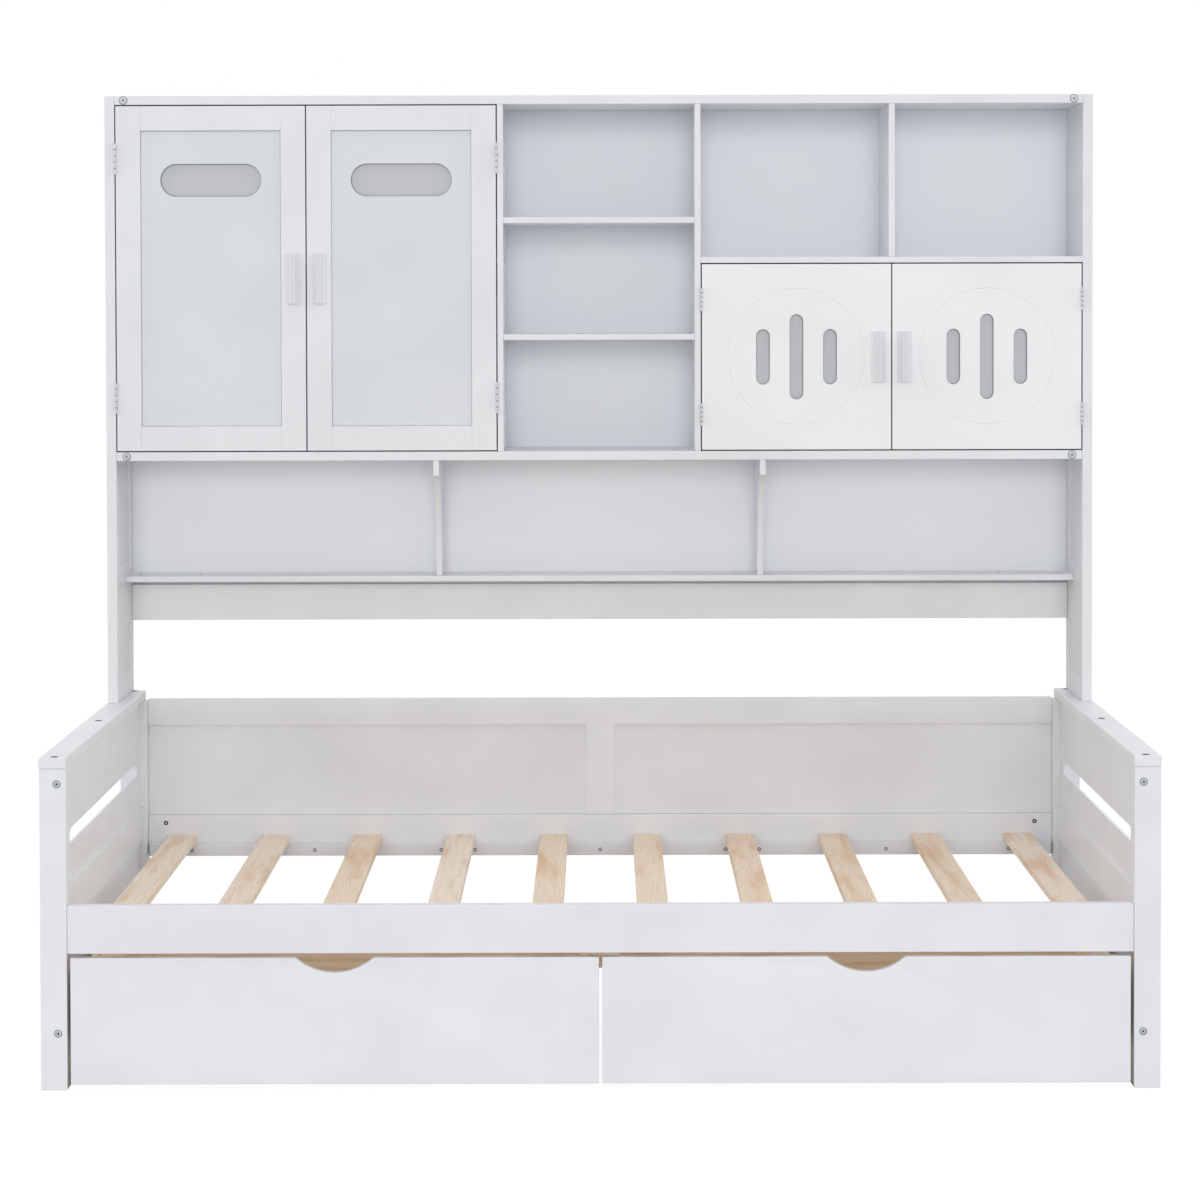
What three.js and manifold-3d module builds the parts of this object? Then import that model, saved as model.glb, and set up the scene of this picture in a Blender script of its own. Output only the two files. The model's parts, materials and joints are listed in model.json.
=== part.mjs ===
// Storage daybed: a single bed with solid ends, two roll-out drawers and a cabinet hutch on its back edge.
// Millimetres, +Z up, +X along the bed, front towards -Y, origin on the floor under the middle.
import * as THREE from "three";
import { mergeVertices } from "three/addons/utils/BufferGeometryUtils.js";
import Module from "manifold-3d";

const wasm = await Module();
wasm.setup();

// Mattress and the play left round it
const mattressLength = 1905;
const mattressWidth = 991;
const mattressEndPlay = 20;
const mattressSidePlay = 21;

// Paint-and-assembly gap where two boards meet, and the running gap of a turning piece
const jointGap = 0.25;
const runningGap = 0.3;

// How far joined solids run into each other, and how far a cutter runs out past what it cuts
const weld = 0.5;
const overrun = 5;

// Bed ends
const endHeight = 602;
const postWidth = 47.5;
const postDepth = 47.5;
const backPostWidth = 55;
const capThickness = 19.5;
const capOverhang = 2.5;
const capSideOverhang = 0.75;
const endRailThickness = 28;
const endRailSetback = 1;
const endPanelThickness = 5;
const endPanelRecess = 6.5;
const endTopRailRecess = 5.5;
const endTopRailHeight = 58;
const endMidRailBottom = 290;
const endMidRailHeight = 72;
const endBottomRailBottom = 72;
const endBottomRailHeight = 62;
const handSlotBottom = 431;
const handSlotHeight = 28;
const handSlotMargin = 44;

// Long rails and the framed back
const railThickness = 22;
const frontRailSetback = 4;
const railBottom = 246.5;
const railHeight = 87.5;
const backRailHeight = 85;
const backRailRise = 5;
const backTopRailDrop = 17;
const backTopRailHeight = 55;
const backStileWidth = 60;
const backStileThickness = 9;
const backPanelThickness = 6;

// Slats on their two ledgers
const slatCount = 10;
const slatWidth = 58;
const slatEndMargin = 51.5;
const slatThickness = 16;
const slatEndPlay = 1;
const ledgerThickness = 20;
const ledgerHeight = 26;
const ledgerRise = 9.5;
const ledgerEndSetback = 5;

// Block under the front ledger that stops the drawer fronts
const stopWidth = 70;
const stopDepth = 35;
const stopClearance = 7;

// Hutch carcass
const hutchTop = 1843;
const hutchDepth = 236;
const hutchSideThickness = 20;
const hutchSideInset = 3.25;
const hutchBoardThickness = 18;
const hutchShelfThickness = 12;
const hutchBackThickness = 6;
const middleColumnWidth = 391;
const cabinetFloorTop = 1116.5;
const upperColumnShelfTop = 1594.5;
const lowerColumnShelfTop = 1356;
const columnShelfSetback = 1;
const rightShelfTop = 1512.5;
const cabinetShelfTop = 1512.5;
const cabinetShelfSetback = 5;

// Frame and recessed panels of the hutch sides
const sideStileWidth = 45;
const sidePanelRecess = 5;
const sideBottomRailHeight = 48;
const sideMidRailTop = 882;
const sideTopRailHeight = 50;

// Open shelf bays under the cabinets
const lowerShelfTop = 852.5;
const lowerShelfDepth = 109;
const lowerCentreBay = 656;
const bracketLip = 31;
const bracketSteps = 12;
const lowerRailTop = 828;
const lowerRailHeight = 75;
const lowerRailThickness = 22;

// Doors
const doorThickness = 18;
const doorGap = 2.5;
const doorFrameWidth = 50;
const doorPanelRecess = 5;
const pillWidth = 206;
const pillHeight = 67;
const pillDrop = 151;
const barWidth = 28;
const middleBarHeight = 174;
const sideBarHeight = 113;
const barPitch = 68.5;
const ringRadius = 139;
const ringGrooveWidth = 2.5;
const ringGrooveDepth = 1.5;
const ringSteps = 64;
const roundEndSteps = 12;

// Frosted panes behind the openings of the doors
const paneThickness = 3;
const paneBorder = 12;
const paneRebateDepth = 6;

// Door pulls
const pullLength = 103;
const pullWidth = 30;
const pullBase = 3;
const pullDepth = 16;
const pullRibWidth = 11;
const pullGrooveWidth = 3;
const pullGrooveDepth = 1.2;
const pullCoveSteps = 6;
const pullEdgeDistance = 25.5;

// Butt hinges
const hingeBarrelRadius = 3;
const hingeLeafThickness = 1;
const hingeLeafDepth = 15;
const tallHingeLength = 64;
const tallHingeInset = 107.5;
const shortHingeLength = 47;
const shortHingeInset = 72;
const hingeSteps = 16;

// Drawers
const drawerFrontThickness = 18;
const drawerFrontSetback = 1.5;
const drawerFrontBottom = 10;
const drawerFrontTop = 239;
const drawerEndGap = 6;
const drawerMiddleGap = 6;
const drawerDepth = 560;
const drawerSideInset = 10;
const drawerSideThickness = 12;
const drawerSideBottom = 22;
const drawerSideTop = 208;
const drawerFloorBottom = 40;
const drawerFloorThickness = 6;
const scoopWidth = 141;
const scoopDepth = 27;
const scoopSteps = 20;

// Drawer wheels
const wheelRadius = 18;
const wheelWidth = 14;
const wheelFloorGap = 0.3;
const wheelTreadRounding = 2;
const wheelHubWidth = 1;
const wheelHubRadius = 7;
const axleRadius = 3;
const axleClearance = 0.1;
const axleSteps = 16;
const wheelSteps = 24;
const wheelBlockWidth = 14;
const wheelBlockLength = 30;
const wheelBlockBottom = 8;
const wheelEndDistance = 70;

// Finishes
const whitePaint = new THREE.MeshStandardMaterial({ color: 0xe9eaec, roughness: 0.45, metalness: 0 });
const whiteBoard = new THREE.MeshStandardMaterial({ color: 0xe2e4e8, roughness: 0.55, metalness: 0 });
const slatWood = new THREE.MeshStandardMaterial({ color: 0xe0c39f, roughness: 0.6, metalness: 0 });
const drawerWood = new THREE.MeshStandardMaterial({ color: 0xc9a67c, roughness: 0.65, metalness: 0 });
const frostedAcrylic = new THREE.MeshStandardMaterial({ color: 0xbec2c6, roughness: 0.5, metalness: 0 });
const hingeSteel = new THREE.MeshStandardMaterial({ color: 0xc4c4c2, roughness: 0.3, metalness: 0.9 });
const wheelPlastic = new THREE.MeshStandardMaterial({ color: 0x3a3b3d, roughness: 0.5, metalness: 0 });

// Places worked out from the sizes above
const postInner = (mattressLength + mattressEndPlay) / 2;
const postOuter = postInner + postWidth;
const backPostInner = postOuter - backPostWidth;
const capInner = postInner - capSideOverhang;
const capOuter = postOuter + capSideOverhang;
const railToRail = mattressWidth + mattressSidePlay;
const bedDepth = 2 * capOverhang + frontRailSetback + 2 * railThickness + railToRail;
const capFront = -bedDepth / 2;
const capBack = bedDepth / 2;
const postFront = capFront + capOverhang;
const postBack = capBack - capOverhang;
const postTop = endHeight - capThickness;
const backTopRailTop = endHeight - backTopRailDrop;
const frontRailFront = postFront + frontRailSetback;
const frontRailBack = frontRailFront + railThickness;
const backRailFront = frontRailBack + railToRail;
const railTop = railBottom + railHeight;
const backRailTop = railTop + backRailRise;
const hutchFront = capBack - hutchDepth;
const hutchOuter = capOuter - hutchSideInset;
const hutchInner = hutchOuter - hutchSideThickness;
const hutchSheetFront = capBack - hutchBackThickness;
const boardBack = hutchSheetFront - jointGap;
const hutchTopUnderside = hutchTop - hutchBoardThickness;
const cabinetFloorUnderside = cabinetFloorTop - hutchBoardThickness;
const columnInner = middleColumnWidth / 2;
const columnOuter = columnInner + hutchShelfThickness;
const doorWidth = (hutchInner - columnOuter - 3 * doorGap) / 2;
const doorBottom = cabinetFloorTop + doorGap;

const daybed = new THREE.Group();

function solidOf(geometry) {
  const bare = geometry.index ? geometry.toNonIndexed() : geometry.clone();
  bare.deleteAttribute("normal");
  bare.deleteAttribute("uv");
  const merged = mergeVertices(bare, 1e-4);
  return new wasm.Manifold(new wasm.Mesh({
    numProp: 3,
    vertProperties: new Float32Array(merged.attributes.position.array),
    triVerts: new Uint32Array(merged.index.array),
  }));
}

function geometryOf(solid) {
  const mesh = solid.getMesh();
  const geometry = new THREE.BufferGeometry();
  geometry.setAttribute("position", new THREE.BufferAttribute(mesh.vertProperties, 3));
  geometry.setIndex(new THREE.BufferAttribute(mesh.triVerts, 1));
  geometry.computeVertexNormals();
  return geometry;
}

function cut(geometry, cutters) {
  const result = cutters.reduce((solid, cutter) => solid.subtract(solidOf(cutter)), solidOf(geometry));
  return geometryOf(result);
}

function join(geometries) {
  const solids = geometries.map(solidOf);
  return geometryOf(solids.reduce((whole, solid) => whole.add(solid)));
}

// A box between two corners, in the coordinates of the group that it goes into
function block(x0, x1, y0, y1, z0, z1) {
  const box = new THREE.BoxGeometry(x1 - x0, y1 - y0, z1 - z0);
  return box.translate((x0 + x1) / 2, (y0 + y1) / 2, (z0 + z1) / 2);
}

// Shapes drawn in (y, z) and run along X, or drawn in (x, z) and run along Y
function runAlongX(shape, x0, x1) {
  const geometry = new THREE.ExtrudeGeometry(shape, { depth: x1 - x0, bevelEnabled: false });
  const turn = new THREE.Matrix4().makeBasis(
    new THREE.Vector3(0, 1, 0), new THREE.Vector3(0, 0, 1), new THREE.Vector3(1, 0, 0));
  return geometry.applyMatrix4(turn).translate(x0, 0, 0);
}

function runAlongY(shape, y0, y1) {
  const geometry = new THREE.ExtrudeGeometry(shape, { depth: y1 - y0, bevelEnabled: false });
  const turn = new THREE.Matrix4().makeBasis(
    new THREE.Vector3(1, 0, 0), new THREE.Vector3(0, 0, 1), new THREE.Vector3(0, -1, 0));
  return geometry.applyMatrix4(turn).translate(0, y1, 0);
}

function outline(points) {
  return new THREE.Shape(points.map(([u, v]) => new THREE.Vector2(u, v)));
}

// A rectangle whose shorter sides are half circles, centred on (u, v)
function roundEnded(u, v, width, height) {
  const radius = Math.min(width, height) / 2;
  const alongU = Math.max(width / 2 - radius, 0);
  const alongV = Math.max(height / 2 - radius, 0);
  const first = alongU > 0 ? -Math.PI / 2 : 0;
  const points = [];
  for (let step = 0; step <= 2 * roundEndSteps + 1; step += 1) {
    const secondEnd = step > roundEndSteps;
    const turnStep = secondEnd ? step - 1 : step;
    const angle = first + (Math.PI * turnStep) / roundEndSteps;
    const side = secondEnd ? -1 : 1;
    points.push([
      u + side * alongU + radius * Math.cos(angle),
      v + side * alongV + radius * Math.sin(angle),
    ]);
  }
  return outline(points);
}

function place(parent, name, geometry, material, x = 0, y = 0, z = 0) {
  const mesh = new THREE.Mesh(geometry, material);
  mesh.name = name;
  mesh.position.set(x, y, z);
  parent.add(mesh);
}

// A plain board, its mesh placed at the middle of the space that it fills
function board(parent, name, material, x0, x1, y0, y1, z0, z1) {
  const box = new THREE.BoxGeometry(x1 - x0, y1 - y0, z1 - z0);
  place(parent, name, box, material, (x0 + x1) / 2, (y0 + y1) / 2, (z0 + z1) / 2);
}

// The ends and the drawers come in mirrored pairs: side is -1 on the left and 1 on the right,
// and near and far are distances from the middle of the bed
function sideSpan(side, near, far) {
  return [side * near, side * far].sort((a, b) => a - b);
}

// Posts with a glued frame of three rails round a thin panel between them, under a cap
function bedEnd(parent, label, side) {
  const y0 = postFront + postDepth + jointGap;
  const y1 = postBack - postDepth - jointGap;
  const postLimit = postTop - jointGap;
  const postSpan = sideSpan(side, postInner, postOuter);
  const backPostSpan = sideSpan(side, backPostInner, postOuter);
  const capSpan = sideSpan(side, capInner, capOuter);
  board(parent, `${label}_front_post`, whitePaint, ...postSpan,
    postFront, postFront + postDepth, 0, postLimit);
  board(parent, `${label}_back_post`, whitePaint, ...backPostSpan,
    postBack - postDepth, postBack, 0, postLimit);
  board(parent, `${label}_end_cap`, whitePaint, ...capSpan, capFront, capBack, postTop, endHeight);

  const railNear = postInner + endRailSetback;
  const railFar = railNear + endRailThickness;
  const panelNear = railNear + endPanelRecess;
  const railSpan = sideSpan(side, railNear, railFar);
  const topRailSpan = sideSpan(side, railNear + endTopRailRecess, railFar);
  const panelSpan = sideSpan(side, panelNear, panelNear + endPanelThickness);
  const topRailBottom = postTop - endTopRailHeight;
  const bottomRailTop = endBottomRailBottom + endBottomRailHeight;

  const panel = join([
    block(...railSpan, y0, y1, endBottomRailBottom, bottomRailTop),
    block(...panelSpan, y0, y1, bottomRailTop - weld, topRailBottom + weld),
    block(...railSpan, y0, y1, endMidRailBottom, endMidRailBottom + endMidRailHeight),
    block(...topRailSpan, y0, y1, topRailBottom, postLimit),
  ]);
  const slotMiddle = handSlotBottom + handSlotHeight / 2;
  const slot = roundEnded((y0 + y1) / 2, slotMiddle, y1 - y0 - 2 * handSlotMargin, handSlotHeight);
  place(parent, `${label}_end_panel`, cut(panel, [runAlongX(slot, ...postSpan)]), whitePaint);
}

// The back is a top rail, a thin panel and a stile, glued up and standing on the bottom rail
function longRails(parent) {
  const reach = postInner - jointGap;
  board(parent, "front_rail", whitePaint, -reach, reach,
    frontRailFront, frontRailBack, railBottom, railTop);

  const backReach = backPostInner - jointGap;
  const railBack = backRailFront + railThickness;
  const topRailBottom = backTopRailTop - backTopRailHeight;
  board(parent, "back_bottom_rail", whitePaint, -backReach, backReach,
    backRailFront, railBack, backRailTop - backRailHeight, backRailTop);

  const frameBottom = backRailTop + jointGap;
  const panelFront = backRailFront + backStileThickness;
  const panelBack = panelFront + backPanelThickness;
  const halfStile = backStileWidth / 2;
  place(parent, "back_frame", join([
    block(-backReach, backReach, backRailFront, railBack, topRailBottom, backTopRailTop),
    block(-backReach, backReach, panelFront, panelBack, frameBottom, topRailBottom + weld),
    block(-halfStile, halfStile, backRailFront, panelFront + weld, frameBottom, topRailBottom + weld),
  ]), whitePaint);
}

// Ten slats screwed down on a ledger along each long rail, with the stop block under the front one
function slatBase(parent) {
  const ledgerReach = backPostInner - ledgerEndSetback;
  const ledgerBottom = railBottom + ledgerRise;
  const ledgerTop = ledgerBottom + ledgerHeight;
  const front = frontRailBack + jointGap;
  const back = backRailFront - jointGap;
  const pieces = [
    block(-ledgerReach, ledgerReach, front, front + ledgerThickness, ledgerBottom, ledgerTop),
    block(-ledgerReach, ledgerReach, back - ledgerThickness, back, ledgerBottom, ledgerTop),
    block(-stopWidth / 2, stopWidth / 2, front, front + stopDepth,
      drawerSideTop + stopClearance, ledgerBottom + weld),
  ];
  const slatFront = frontRailBack + slatEndPlay;
  const slatBack = backRailFront - slatEndPlay;
  const slatReach = postInner - slatEndMargin;
  const slatPitch = (2 * slatReach - slatWidth) / (slatCount - 1);
  for (let index = 0; index < slatCount; index += 1) {
    const x0 = index * slatPitch - slatReach;
    const x1 = x0 + slatWidth;
    pieces.push(block(x0, x1, slatFront, slatBack, ledgerTop - weld, ledgerTop + slatThickness));
  }
  place(parent, "slat_base", join(pieces), slatWood);
}

// A hutch side is a frame of stiles and rails with thin panels let in on both faces
function hutchSide(parent, label, side) {
  const bottom = endHeight + jointGap;
  const midRailBottom = lowerRailTop - lowerRailHeight;
  const recessFront = hutchFront + sideStileWidth;
  const recessBack = capBack - sideStileWidth;
  const lowRecess = [bottom + sideBottomRailHeight, midRailBottom];
  const inner = [lowRecess, [sideMidRailTop, cabinetFloorUnderside]];
  const outer = [lowRecess, [sideMidRailTop, hutchTop - sideTopRailHeight]];
  const innerSpan = sideSpan(side, hutchInner - overrun, hutchInner + sidePanelRecess);
  const outerSpan = sideSpan(side, hutchOuter - sidePanelRecess, hutchOuter + overrun);
  const cutters = [
    ...inner.map(([z0, z1]) => block(...innerSpan, recessFront, recessBack, z0, z1)),
    ...outer.map(([z0, z1]) => block(...outerSpan, recessFront, recessBack, z0, z1)),
  ];
  const slab = block(...sideSpan(side, hutchInner, hutchOuter), hutchFront, capBack, bottom, hutchTop);
  place(parent, `hutch_${label}_side`, cut(slab, cutters), whitePaint);
}

function hutchBoards(parent) {
  const reach = hutchInner - jointGap;
  const floorTop = cabinetFloorTop + jointGap;
  const topUnderside = hutchTopUnderside - jointGap;
  board(parent, "hutch_top", whitePaint, -reach, reach, hutchFront, capBack, hutchTopUnderside, hutchTop);
  board(parent, "cabinet_floor", whitePaint, -reach, reach,
    hutchFront, boardBack, cabinetFloorUnderside, cabinetFloorTop);
  board(parent, "left_divider", whitePaint, -columnOuter, -columnInner,
    hutchFront, boardBack, floorTop, topUnderside);
  board(parent, "right_divider", whitePaint, columnInner, columnOuter,
    hutchFront, boardBack, floorTop, topUnderside);

  const columnReach = columnInner - jointGap;
  for (const [name, top] of [["upper", upperColumnShelfTop], ["lower", lowerColumnShelfTop]]) {
    board(parent, `column_${name}_shelf`, whitePaint, -columnReach, columnReach,
      hutchFront + columnShelfSetback, boardBack, top - hutchShelfThickness, top);
  }

  const bayNear = columnOuter + jointGap;
  const cubbyMiddle = (columnOuter + hutchInner) / 2;
  const halfShelf = hutchShelfThickness / 2;
  board(parent, "right_shelf", whitePaint, bayNear, reach,
    hutchFront, boardBack, rightShelfTop - hutchShelfThickness, rightShelfTop);
  board(parent, "cubby_divider", whitePaint, cubbyMiddle - halfShelf, cubbyMiddle + halfShelf,
    hutchFront, boardBack, rightShelfTop + jointGap, topUnderside);
  const cabinetShelfFront = hutchFront + doorThickness + cabinetShelfSetback;
  board(parent, "cabinet_shelf", whitePaint, -reach, -bayNear,
    cabinetShelfFront, boardBack, cabinetShelfTop - hutchShelfThickness, cabinetShelfTop);
  board(parent, "hutch_back", whiteBoard, -reach, reach,
    hutchSheetFront, capBack, lowerRailTop + jointGap, topUnderside);
}

// The bracket boards sweep back in a quarter ellipse from the cabinet floor to the shallow shelf
function lowerBays(parent) {
  const reach = hutchInner - jointGap;
  const shelfFront = hutchSheetFront - lowerShelfDepth;
  board(parent, "lower_shelf", whitePaint, -reach, reach, shelfFront, boardBack,
    lowerShelfTop - hutchShelfThickness, lowerShelfTop);
  board(parent, "lower_rail", whitePaint, -reach, reach, capBack - lowerRailThickness, capBack,
    lowerRailTop - lowerRailHeight, lowerRailTop);

  const top = cabinetFloorUnderside - jointGap;
  const foot = lowerShelfTop + jointGap;
  const sweepTop = top - bracketLip;
  const points = [[boardBack, foot], [boardBack, top], [hutchFront, top]];
  for (let step = 0; step <= bracketSteps; step += 1) {
    const angle = (Math.PI / 2) * (step / bracketSteps);
    points.push([
      hutchFront + (shelfFront - hutchFront) * Math.sin(angle),
      foot + (sweepTop - foot) * Math.cos(angle),
    ]);
  }
  const near = lowerCentreBay / 2;
  const far = near + hutchShelfThickness;
  place(parent, "left_bracket", runAlongX(outline(points), -far, -near), whitePaint);
  place(parent, "right_bracket", runAlongX(outline(points), near, far), whitePaint);
}

// Doors and panes are drawn with the door's middle at the origin and its front face on y = 0
function framedDoor(height) {
  const slab = block(-doorWidth / 2, doorWidth / 2, 0, doorThickness, -height / 2, height / 2);
  const openX = doorWidth / 2 - doorFrameWidth;
  const openZ = height / 2 - doorFrameWidth;
  const pillZ = height / 2 - pillDrop;
  const backRecess = doorThickness - doorPanelRecess;
  const door = cut(slab, [
    block(-openX, openX, -overrun, doorPanelRecess, -openZ, openZ),
    block(-openX, openX, backRecess, doorThickness + overrun, -openZ, openZ),
    runAlongY(roundEnded(0, pillZ, pillWidth, pillHeight), -overrun, doorThickness + overrun),
  ]);
  const paneShape = roundEnded(0, pillZ, pillWidth + 2 * paneBorder, pillHeight + 2 * paneBorder);
  const paneFront = backRecess + jointGap;
  return { door, pane: runAlongY(paneShape, paneFront, paneFront + paneThickness) };
}

function ringCutter() {
  const outer = ringRadius + ringGrooveWidth / 2;
  const inner = ringRadius - ringGrooveWidth / 2;
  const section = [
    [inner, -overrun], [outer, -overrun],
    [outer, ringGrooveDepth], [inner, ringGrooveDepth],
    [inner, -overrun],
  ];
  return new THREE.LatheGeometry(section.map(([r, y]) => new THREE.Vector2(r, y)), ringSteps);
}

function slabDoor(height) {
  const slab = block(-doorWidth / 2, doorWidth / 2, 0, doorThickness, -height / 2, height / 2);
  const bars = [[-barPitch, sideBarHeight], [0, middleBarHeight], [barPitch, sideBarHeight]];
  const slots = bars.map(([x, barHeight]) =>
    runAlongY(roundEnded(x, 0, barWidth, barHeight), -overrun, doorThickness + overrun));
  const rebateX = barPitch + barWidth / 2 + paneBorder;
  const rebateZ = middleBarHeight / 2 + paneBorder;
  const rebateFront = doorThickness - paneRebateDepth;
  const rebate = block(-rebateX, rebateX, rebateFront, doorThickness + overrun, -rebateZ, rebateZ);
  const paneX = rebateX - jointGap;
  const paneZ = rebateZ - jointGap;
  const paneFront = rebateFront + jointGap;
  return {
    door: cut(slab, [ringCutter(), rebate, ...slots]),
    pane: block(-paneX, paneX, paneFront, paneFront + paneThickness, -paneZ, paneZ),
  };
}

// A pull is a strip with a cove along each side of a grooved rib, cut to length
function pullGeometry() {
  const half = pullWidth / 2;
  const rib = pullRibWidth / 2;
  const groove = pullGrooveWidth / 2;
  const rightSide = [[half, 0], [half, -pullBase]];
  for (let step = 1; step <= pullCoveSteps; step += 1) {
    const angle = (Math.PI / 2) * (step / pullCoveSteps);
    rightSide.push([
      half - (half - rib) * Math.sin(angle),
      -pullDepth + (pullDepth - pullBase) * Math.cos(angle),
    ]);
  }
  rightSide.push([groove, -pullDepth], [groove, -pullDepth + pullGrooveDepth]);
  const leftSide = rightSide.map(([x, y]) => [-x, y]).reverse();
  const section = outline([...leftSide, ...rightSide]);
  const geometry = new THREE.ExtrudeGeometry(section, { depth: pullLength, bevelEnabled: false });
  return geometry.translate(0, 0, -pullLength / 2);
}

// The barrel stands proud of the door's face, and the leaf lies in the gap against the upright
function hingeGeometry(length, leafFrom, leafTo) {
  const barrel = new THREE.CylinderGeometry(hingeBarrelRadius, hingeBarrelRadius, length, hingeSteps);
  const leafBack = hingeBarrelRadius + hingeLeafDepth;
  return join([
    barrel.rotateX(Math.PI / 2),
    block(leafFrom, leafTo, 0, leafBack, -length / 2, length / 2),
  ]);
}

// A door with its pane, its pull and its two hinges; hand is 1 when the hinges are on its left edge
function hungDoor(parent, label, hand, uprightFace, height, { door, pane }, [hingeLength, hingeInset]) {
  const z = doorBottom + height / 2;
  const hingeEdge = uprightFace + hand * doorGap;
  const x = hingeEdge + (hand * doorWidth) / 2;
  place(parent, `${label}_door`, door, whitePaint, x, hutchFront, z);
  place(parent, `${label}_pane`, pane, frostedAcrylic, x, hutchFront, z);
  const pullX = hingeEdge + hand * (doorWidth - pullEdgeDistance);
  place(parent, `${label}_pull`, pullGeometry(), whitePaint, pullX, hutchFront - jointGap, z);

  const axisX = uprightFace + (hand * doorGap) / 2;
  const axisY = hutchFront - runningGap - hingeBarrelRadius;
  const near = uprightFace + hand * jointGap - axisX;
  const far = near + hand * hingeLeafThickness;
  const reach = height / 2 - hingeInset;
  for (const [name, offset] of [["upper", reach], ["lower", -reach]]) {
    const hinge = hingeGeometry(hingeLength, Math.min(near, far), Math.max(near, far));
    place(parent, `${label}_${name}_hinge`, hinge, hingeSteel, axisX, axisY, z + offset);
  }
}

function doors(parent) {
  const tall = hutchTopUnderside - doorGap - doorBottom;
  const short = rightShelfTop - hutchShelfThickness - doorGap - doorBottom;
  const tallHinge = [tallHingeLength, tallHingeInset];
  const shortHinge = [shortHingeLength, shortHingeInset];
  hungDoor(parent, "tall_left", 1, -hutchInner, tall, framedDoor(tall), tallHinge);
  hungDoor(parent, "tall_right", -1, -columnOuter, tall, framedDoor(tall), tallHinge);
  hungDoor(parent, "short_left", 1, columnOuter, short, slabDoor(short), shortHinge);
  hungDoor(parent, "short_right", -1, hutchInner, short, slabDoor(short), shortHinge);
}

function drawerFront(parent, label, side) {
  const near = drawerMiddleGap / 2;
  const far = postInner - drawerEndGap;
  const front = postFront + drawerFrontSetback;
  const back = front + drawerFrontThickness;
  const middle = (side * (near + far)) / 2;
  const scoopRadius = (scoopWidth ** 2 / 4 + scoopDepth ** 2) / (2 * scoopDepth);
  const halfAngle = Math.asin(scoopWidth / 2 / scoopRadius);
  const points = [];
  for (let step = 0; step <= scoopSteps; step += 1) {
    const angle = halfAngle * ((2 * step) / scoopSteps - 1);
    points.push([
      middle + scoopRadius * Math.sin(angle),
      drawerFrontTop - scoopDepth + scoopRadius * (1 - Math.cos(angle)),
    ]);
  }
  const above = drawerFrontTop + scoopDepth;
  points.push([middle + scoopWidth / 2, above], [middle - scoopWidth / 2, above]);
  const slab = block(...sideSpan(side, near, far), front, back, drawerFrontBottom, drawerFrontTop);
  const scoop = runAlongY(outline(points), front - overrun, back + overrun);
  place(parent, `${label}_drawer_front`, cut(slab, [scoop]), whitePaint);
}

// The tray is open towards its front, with a block and an axle for each wheel under its floor
function drawerTray(parent, label, side) {
  const near = drawerMiddleGap / 2 + drawerSideInset;
  const far = postInner - drawerEndGap - drawerSideInset;
  const y0 = postFront + drawerFrontSetback + drawerFrontThickness + jointGap;
  const y1 = postFront + drawerFrontSetback + drawerDepth;
  const nearWall = near + drawerSideThickness;
  const farWall = far - drawerSideThickness;
  const hollow = [...sideSpan(side, nearWall, farWall), y0 - overrun, y1 - drawerSideThickness];
  const floorTop = drawerFloorBottom + drawerFloorThickness;
  const slab = block(...sideSpan(side, near, far), y0, y1, drawerSideBottom, drawerSideTop);
  const pieces = [cut(slab, [
    block(...hollow, floorTop, drawerSideTop + overrun),
    block(...hollow, drawerSideBottom - overrun, drawerFloorBottom),
  ])];

  const axisZ = wheelRadius + wheelFloorGap;
  const blockTop = drawerFloorBottom + drawerFloorThickness / 2;
  for (const [edgeName, wall, inward] of [["inner", nearWall, 1], ["outer", farWall, -1]]) {
    const root = wall - (inward * drawerSideThickness) / 2;
    const blockEnd = wall + inward * wheelBlockWidth;
    const axleEnd = blockEnd + inward * (wheelWidth + 2 * runningGap);
    const wheelX = side * (blockEnd + inward * (runningGap + wheelWidth / 2));
    for (const [endName, y] of [["front", y0 + wheelEndDistance], ["back", y1 - wheelEndDistance]]) {
      const blockFront = y - wheelBlockLength / 2;
      const blockBack = y + wheelBlockLength / 2;
      const blockSpan = sideSpan(side, root, blockEnd);
      pieces.push(block(...blockSpan, blockFront, blockBack, wheelBlockBottom, blockTop));
      const axle = new THREE.CylinderGeometry(axleRadius, axleRadius, Math.abs(axleEnd - root), axleSteps);
      axle.rotateZ(Math.PI / 2);
      pieces.push(axle.translate((side * (root + axleEnd)) / 2, y, axisZ));
      const wheelName = `${label}_drawer_${endName}_${edgeName}_wheel`;
      place(parent, wheelName, wheelGeometry(), wheelPlastic, wheelX, y, axisZ);
    }
  }
  place(parent, `${label}_drawer_tray`, join(pieces), drawerWood);
}

function wheelGeometry() {
  const bore = axleRadius + axleClearance;
  const half = wheelWidth / 2;
  const tread = half - wheelTreadRounding;
  const webHalf = half - wheelHubWidth;
  const shoulder = wheelRadius - wheelTreadRounding;
  const section = [
    [bore, -half], [wheelHubRadius, -half], [wheelHubRadius, -webHalf], [shoulder, -webHalf],
    [wheelRadius, -tread], [wheelRadius, tread],
    [shoulder, webHalf], [wheelHubRadius, webHalf], [wheelHubRadius, half], [bore, half],
    [bore, -half],
  ];
  const wheel = new THREE.LatheGeometry(section.map(([r, y]) => new THREE.Vector2(r, y)), wheelSteps);
  return wheel.rotateZ(Math.PI / 2);
}

const bed = new THREE.Group();
const hutch = new THREE.Group();
const drawers = new THREE.Group();
daybed.add(bed, hutch, drawers);

for (const [label, side] of [["left", -1], ["right", 1]]) {
  bedEnd(bed, label, side);
  hutchSide(hutch, label, side);
  drawerFront(drawers, label, side);
  drawerTray(drawers, label, side);
}
longRails(bed);
slatBase(bed);
hutchBoards(hutch);
lowerBays(hutch);
doors(hutch);

export default daybed;
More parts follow.
